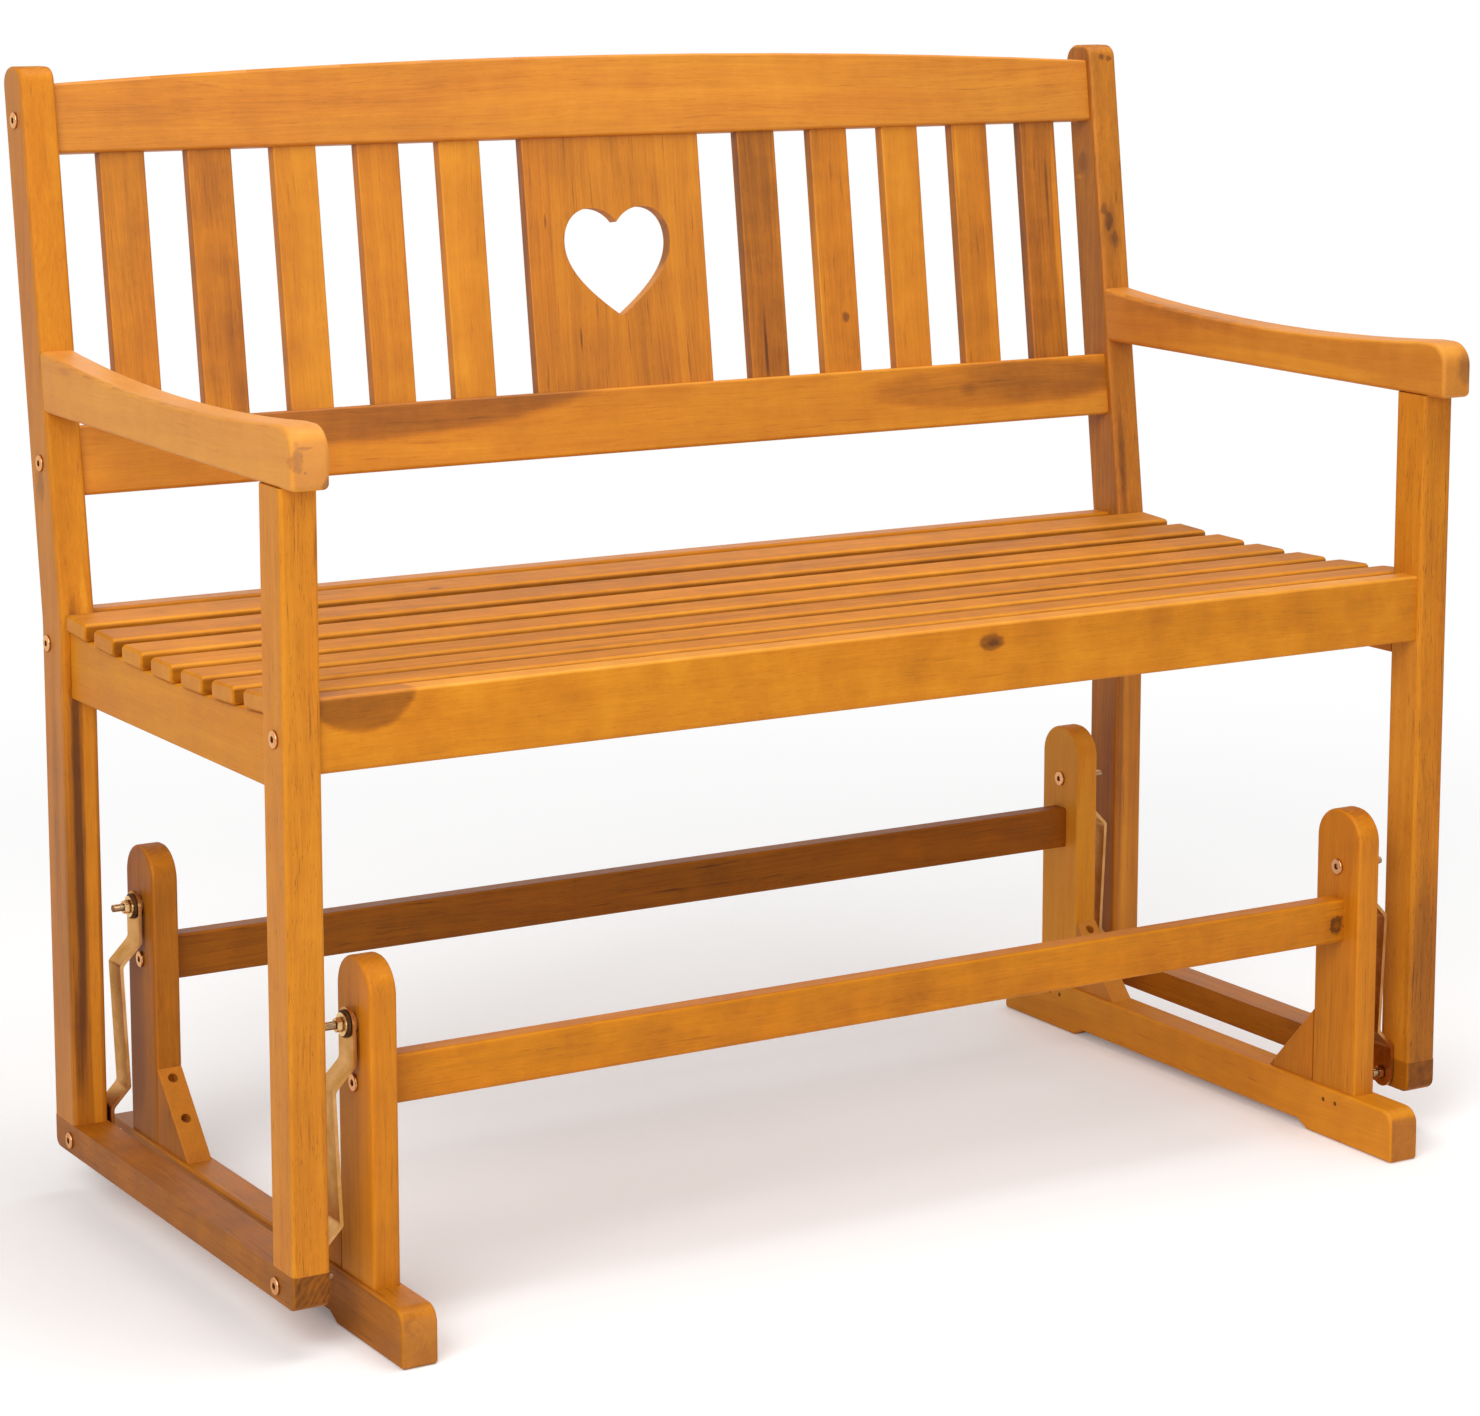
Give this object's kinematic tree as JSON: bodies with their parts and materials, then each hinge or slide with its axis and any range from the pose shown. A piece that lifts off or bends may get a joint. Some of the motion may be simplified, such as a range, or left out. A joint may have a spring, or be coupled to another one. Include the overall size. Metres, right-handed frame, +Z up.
{
  "type": "glider bench",
  "caption": "Oiled hardwood glider bench: slatted seat with arms and a heart-cut back, hung by cranked steel straps from a low base so that it swings forward and back.",
  "frame": {"origin": "On the floor, under the middle of the overall box. X = 0 is the bench's plane of symmetry; Y = 0 is midway between the front ends of the foot rails and the rearmost point of the leaning rear posts.", "axes": "+X runs along the bench to the sitter's left, which is the right of someone facing it; +Y points from the front of the seat to the back rest; +Z is up."},
  "size_m": [1.1044, 0.583, 0.9403],
  "materials": {
    "seat_wood": "oiled hardwood with a satin sheen",
    "base_wood": "oiled hardwood with a satin sheen",
    "pin_wood": "darker filled pin ends",
    "yellow_zinc_steel": "yellow zinc plating",
    "dark_nylon": "dark moulded nylon"
  },
  "bodies": {
    "base": {"foot_rail_right": "base_wood", "foot_rail_left": "base_wood", "base_post_front_right": "base_wood", "base_post_front_left": "base_wood", "base_post_rear_right": "base_wood", "base_post_rear_left": "base_wood", "gusset_front_right": "base_wood", "gusset_front_left": "base_wood", "gusset_rear_right": "base_wood", "gusset_rear_left": "base_wood", "front_stretcher": "base_wood", "rear_stretcher": "base_wood", "tenon_pins": "pin_wood", "upper_pivot_glide_rings": "dark_nylon", "stretcher_bolts": "yellow_zinc_steel", "gusset_screws": "yellow_zinc_steel", "upper_pivot_bolts": "yellow_zinc_steel", "upper_pivot_nuts": "yellow_zinc_steel", "upper_pivot_spacers": "yellow_zinc_steel", "upper_pivot_washers": "yellow_zinc_steel"},
    "seat": {"bottom_rail_right": "seat_wood", "bottom_rail_left": "seat_wood", "front_leg_right": "seat_wood", "front_leg_left": "seat_wood", "rear_post_right": "seat_wood", "rear_post_left": "seat_wood", "armrest_right": "seat_wood", "armrest_left": "seat_wood", "seat_side_rail_right": "seat_wood", "seat_side_rail_left": "seat_wood", "front_seat_rail": "seat_wood", "rear_seat_rail": "seat_wood", "seat_centre_bearer": "seat_wood", "seat_slat_1": "seat_wood", "seat_slat_2": "seat_wood", "seat_slat_3": "seat_wood", "seat_slat_4": "seat_wood", "seat_slat_5": "seat_wood", "seat_slat_6": "seat_wood", "seat_slat_7": "seat_wood", "back_lower_rail": "seat_wood", "back_top_rail": "seat_wood", "back_slat_1": "seat_wood", "back_slat_2": "seat_wood", "back_slat_3": "seat_wood", "back_slat_4": "seat_wood", "back_slat_5": "seat_wood", "back_slat_6": "seat_wood", "back_slat_7": "seat_wood", "back_slat_8": "seat_wood", "back_slat_9": "seat_wood", "back_slat_10": "seat_wood", "back_panel": "seat_wood", "seat_frame_bolts": "yellow_zinc_steel", "leg_screws": "yellow_zinc_steel", "lower_pivot_bolts": "yellow_zinc_steel", "lower_pivot_nuts": "yellow_zinc_steel", "lower_pivot_washers": "yellow_zinc_steel"},
    "front_right_hanger": {"hanger_front_right": "yellow_zinc_steel"},
    "front_left_hanger": {"hanger_front_left": "yellow_zinc_steel"},
    "rear_right_hanger": {"hanger_rear_right": "yellow_zinc_steel"},
    "rear_left_hanger": {"hanger_rear_left": "yellow_zinc_steel"}
  },
  "joints": [
    {"name": "glide", "type": "hinge", "parent": "base", "child": "front_right_hanger", "pos_m": [0.4884, -0.20852, 0.245], "axis": [1, 0, 0], "range_deg": [-22, 22]},
    {"name": "seat_level", "type": "hinge", "parent": "front_right_hanger", "child": "seat", "pos_m": [0.51685, -0.20852, 0.052], "axis": [1, 0, 0], "range_deg": [-22, 22]},
    {"name": "front_left_swing", "type": "hinge", "parent": "base", "child": "front_left_hanger", "pos_m": [-0.4884, -0.20852, 0.245], "axis": [1, 0, 0], "range_deg": [-22, 22]},
    {"name": "rear_right_swing", "type": "hinge", "parent": "base", "child": "rear_right_hanger", "pos_m": [0.4884, 0.20348, 0.245], "axis": [1, 0, 0], "range_deg": [-22, 22]},
    {"name": "rear_left_swing", "type": "hinge", "parent": "base", "child": "rear_left_hanger", "pos_m": [-0.4884, 0.20348, 0.245], "axis": [1, 0, 0], "range_deg": [-22, 22]}
  ],
  "couplings": [
    {"joint": "seat_level", "follows": "glide", "ratio": -1},
    {"joint": "front_left_swing", "follows": "glide", "ratio": 1},
    {"joint": "rear_right_swing", "follows": "glide", "ratio": 1},
    {"joint": "rear_left_swing", "follows": "glide", "ratio": 1}
  ]
}
